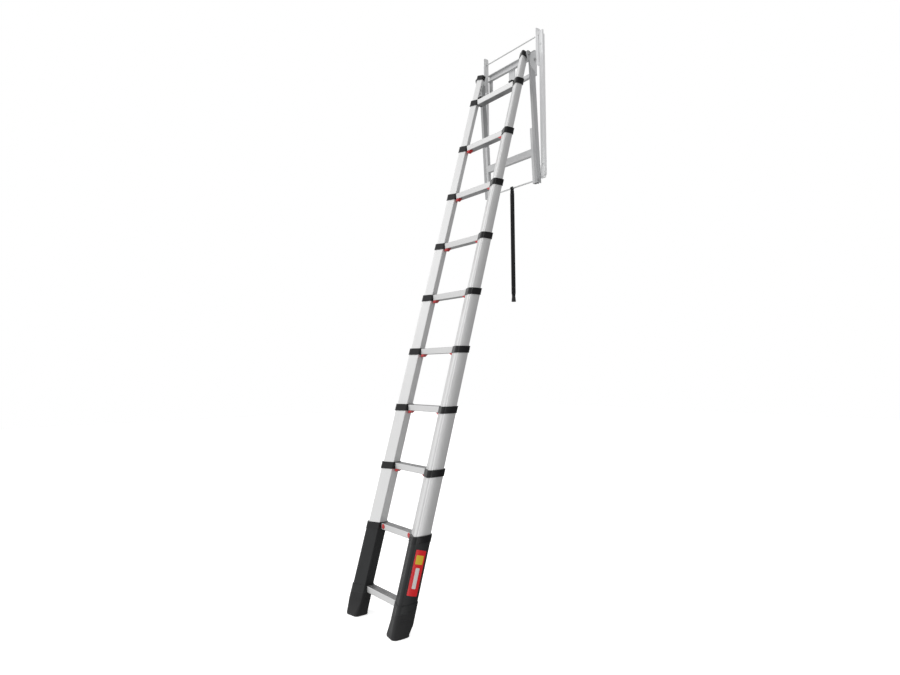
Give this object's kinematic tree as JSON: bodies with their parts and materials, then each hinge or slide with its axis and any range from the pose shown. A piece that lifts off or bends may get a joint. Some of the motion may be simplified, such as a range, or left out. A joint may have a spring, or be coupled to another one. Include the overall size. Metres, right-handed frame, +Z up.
{
  "type": "telescoping loft ladder",
  "caption": "Telescoping aluminium ladder with nested stiles, black collars and rubber feet, hung from a lifting steel wall frame with a pull pole.",
  "frame": {"origin": "on the floor, below the middle of the whole object's box", "axes": "+X across to the climber's right, +Y towards the wall that the frame is screwed to, +Z up"},
  "size_m": [0.48, 0.93, 2.9322],
  "materials": {
    "tread_aluminium": "satin anodised extrusion with lengthwise grip grooves",
    "tube_aluminium": "satin anodised drawn tube",
    "black_plastic": "fine moulded grain",
    "sleeve_plastic": "smooth satin sleeve",
    "black_rubber": "matt",
    "red_plastic": "glossy moulded",
    "frame_steel": "light grey coated sheet steel",
    "zinc_steel": "bright zinc plated",
    "pole_paint": "satin black"
  },
  "bodies": {
    "wall_rail_pair": {"wall_rails": "frame_steel"},
    "lift_frame": {"slide_bars": "frame_steel", "swing_arms": "frame_steel", "cheek_plates": "frame_steel", "cross_member": "frame_steel", "lower_frame": "frame_steel", "tie_rods": "zinc_steel", "frame_bolts": "zinc_steel"},
    "pole": {"pull_pole": "pole_paint", "pole_tip": "black_rubber"},
    "top_section": {"stile_tubes_9": "tube_aluminium", "end_caps": "black_plastic"},
    "section_8": {"stile_tubes_8": "tube_aluminium", "collars_10": "black_plastic", "tread_10": "tread_aluminium"},
    "section_7": {"stile_tubes_7": "tube_aluminium", "collars_09": "black_plastic", "tread_09": "tread_aluminium"},
    "section_6": {"stile_tubes_6": "tube_aluminium", "collars_08": "black_plastic", "tread_08": "tread_aluminium"},
    "section_5": {"stile_tubes_5": "tube_aluminium", "collars_07": "black_plastic", "tread_07": "tread_aluminium"},
    "section_4": {"stile_tubes_4": "tube_aluminium", "collars_06": "black_plastic", "tread_06": "tread_aluminium"},
    "section_3": {"stile_tubes_3": "tube_aluminium", "collars_05": "black_plastic", "tread_05": "tread_aluminium"},
    "section_2": {"stile_tubes_2": "tube_aluminium", "collars_04": "black_plastic", "tread_04": "tread_aluminium"},
    "section_1": {"stile_tubes_1": "tube_aluminium", "collars_03": "black_plastic", "tread_03": "tread_aluminium"},
    "base": {"base_tubes": "tube_aluminium", "base_sleeves": "sleeve_plastic", "feet": "black_rubber", "tread_01": "tread_aluminium", "tread_02": "tread_aluminium", "collars_02": "black_plastic"},
    "lock_right_03": {"lock_right_03": "red_plastic"},
    "lock_left_03": {"lock_left_03": "red_plastic"},
    "lock_right_04": {"lock_right_04": "red_plastic"},
    "lock_left_04": {"lock_left_04": "red_plastic"},
    "lock_right_05": {"lock_right_05": "red_plastic"},
    "lock_left_05": {"lock_left_05": "red_plastic"},
    "lock_right_06": {"lock_right_06": "red_plastic"},
    "lock_left_06": {"lock_left_06": "red_plastic"},
    "lock_right_07": {"lock_right_07": "red_plastic"},
    "lock_left_07": {"lock_left_07": "red_plastic"},
    "lock_right_08": {"lock_right_08": "red_plastic"},
    "lock_left_08": {"lock_left_08": "red_plastic"},
    "lock_right_09": {"lock_right_09": "red_plastic"},
    "lock_left_09": {"lock_left_09": "red_plastic"},
    "height_latch_right_10": {"height_latch_right_10": "black_plastic"},
    "height_latch_left_10": {"height_latch_left_10": "black_plastic"},
    "release_button_right": {"release_button_right": "red_plastic"},
    "release_button_left": {"release_button_left": "red_plastic"}
  },
  "joints": [
    {"name": "frame_lift", "type": "slide", "parent": "wall_rail_pair", "child": "lift_frame", "axis": [0, 0, 1], "range_m": [0, 0.6]},
    {"name": "pole_swing", "type": "hinge", "parent": "lift_frame", "child": "pole", "pos_m": [0.008, 0.43352, 2.12216], "axis": [1, 0, 0], "range_deg": [-30, 60]},
    {"name": "ladder_swing", "type": "hinge", "parent": "lift_frame", "child": "top_section", "pos_m": [0, 0.37643, 2.78016], "axis": [-1, 0, 0], "range_deg": [0, 74]},
    {"name": "section_8_slide", "type": "slide", "parent": "top_section", "child": "section_8", "axis": [0, 0.2756, 0.9613], "range_m": [0, 0.09]},
    {"name": "section_7_slide", "type": "slide", "parent": "section_8", "child": "section_7", "axis": [0, 0.2756, 0.9613], "range_m": [0, 0.242]},
    {"name": "section_6_slide", "type": "slide", "parent": "section_7", "child": "section_6", "axis": [0, 0.2756, 0.9613], "range_m": [0, 0.242]},
    {"name": "section_5_slide", "type": "slide", "parent": "section_6", "child": "section_5", "axis": [0, 0.2756, 0.9613], "range_m": [0, 0.242]},
    {"name": "section_4_slide", "type": "slide", "parent": "section_5", "child": "section_4", "axis": [0, 0.2756, 0.9613], "range_m": [0, 0.242]},
    {"name": "section_3_slide", "type": "slide", "parent": "section_4", "child": "section_3", "axis": [0, 0.2756, 0.9613], "range_m": [0, 0.242]},
    {"name": "section_2_slide", "type": "slide", "parent": "section_3", "child": "section_2", "axis": [0, 0.2756, 0.9613], "range_m": [0, 0.242]},
    {"name": "section_1_slide", "type": "slide", "parent": "section_2", "child": "section_1", "axis": [0, 0.2756, 0.9613], "range_m": [0, 0.242]},
    {"name": "base_slide", "type": "slide", "parent": "section_1", "child": "base", "axis": [0, 0.2756, 0.9613], "range_m": [0, 0.242]},
    {"name": "lock_right_03_slide", "type": "slide", "parent": "section_1", "child": "lock_right_03", "axis": [-1, 0, 0], "range_m": [0, 0.008], "stiffness_N_per_m": 300, "springref_m": -0.004},
    {"name": "lock_left_03_slide", "type": "slide", "parent": "section_1", "child": "lock_left_03", "axis": [1, 0, 0], "range_m": [0, 0.008], "stiffness_N_per_m": 300, "springref_m": -0.004},
    {"name": "lock_right_04_slide", "type": "slide", "parent": "section_2", "child": "lock_right_04", "axis": [-1, 0, 0], "range_m": [0, 0.008], "stiffness_N_per_m": 300, "springref_m": -0.004},
    {"name": "lock_left_04_slide", "type": "slide", "parent": "section_2", "child": "lock_left_04", "axis": [1, 0, 0], "range_m": [0, 0.008], "stiffness_N_per_m": 300, "springref_m": -0.004},
    {"name": "lock_right_05_slide", "type": "slide", "parent": "section_3", "child": "lock_right_05", "axis": [-1, 0, 0], "range_m": [0, 0.008], "stiffness_N_per_m": 300, "springref_m": -0.004},
    {"name": "lock_left_05_slide", "type": "slide", "parent": "section_3", "child": "lock_left_05", "axis": [1, 0, 0], "range_m": [0, 0.008], "stiffness_N_per_m": 300, "springref_m": -0.004},
    {"name": "lock_right_06_slide", "type": "slide", "parent": "section_4", "child": "lock_right_06", "axis": [-1, 0, 0], "range_m": [0, 0.008], "stiffness_N_per_m": 300, "springref_m": -0.004},
    {"name": "lock_left_06_slide", "type": "slide", "parent": "section_4", "child": "lock_left_06", "axis": [1, 0, 0], "range_m": [0, 0.008], "stiffness_N_per_m": 300, "springref_m": -0.004},
    {"name": "lock_right_07_slide", "type": "slide", "parent": "section_5", "child": "lock_right_07", "axis": [-1, 0, 0], "range_m": [0, 0.008], "stiffness_N_per_m": 300, "springref_m": -0.004},
    {"name": "lock_left_07_slide", "type": "slide", "parent": "section_5", "child": "lock_left_07", "axis": [1, 0, 0], "range_m": [0, 0.008], "stiffness_N_per_m": 300, "springref_m": -0.004},
    {"name": "lock_right_08_slide", "type": "slide", "parent": "section_6", "child": "lock_right_08", "axis": [-1, 0, 0], "range_m": [0, 0.008], "stiffness_N_per_m": 300, "springref_m": -0.004},
    {"name": "lock_left_08_slide", "type": "slide", "parent": "section_6", "child": "lock_left_08", "axis": [1, 0, 0], "range_m": [0, 0.008], "stiffness_N_per_m": 300, "springref_m": -0.004},
    {"name": "lock_right_09_slide", "type": "slide", "parent": "section_7", "child": "lock_right_09", "axis": [-1, 0, 0], "range_m": [0, 0.008], "stiffness_N_per_m": 300, "springref_m": -0.004},
    {"name": "lock_left_09_slide", "type": "slide", "parent": "section_7", "child": "lock_left_09", "axis": [1, 0, 0], "range_m": [0, 0.008], "stiffness_N_per_m": 300, "springref_m": -0.004},
    {"name": "height_latch_right_10_slide", "type": "slide", "parent": "section_8", "child": "height_latch_right_10", "axis": [-1, 0, 0], "range_m": [0, 0.008], "stiffness_N_per_m": 300, "springref_m": -0.004},
    {"name": "height_latch_left_10_slide", "type": "slide", "parent": "section_8", "child": "height_latch_left_10", "axis": [1, 0, 0], "range_m": [0, 0.008], "stiffness_N_per_m": 300, "springref_m": -0.004},
    {"name": "release_button_right_press", "type": "slide", "parent": "base", "child": "release_button_right", "axis": [0, 1, 0], "range_m": [0, 0.0035], "stiffness_N_per_m": 400, "springref_m": -0.002},
    {"name": "release_button_left_press", "type": "slide", "parent": "base", "child": "release_button_left", "axis": [0, 1, 0], "range_m": [0, 0.0035], "stiffness_N_per_m": 400, "springref_m": -0.002}
  ],
  "couplings": [
    {"joint": "lock_left_03_slide", "follows": "lock_right_03_slide", "ratio": 1},
    {"joint": "lock_left_04_slide", "follows": "lock_right_04_slide", "ratio": 1},
    {"joint": "lock_left_05_slide", "follows": "lock_right_05_slide", "ratio": 1},
    {"joint": "lock_left_06_slide", "follows": "lock_right_06_slide", "ratio": 1},
    {"joint": "lock_left_07_slide", "follows": "lock_right_07_slide", "ratio": 1},
    {"joint": "lock_left_08_slide", "follows": "lock_right_08_slide", "ratio": 1},
    {"joint": "lock_left_09_slide", "follows": "lock_right_09_slide", "ratio": 1},
    {"joint": "height_latch_left_10_slide", "follows": "height_latch_right_10_slide", "ratio": 1},
    {"joint": "release_button_left_press", "follows": "release_button_right_press", "ratio": 1}
  ]
}
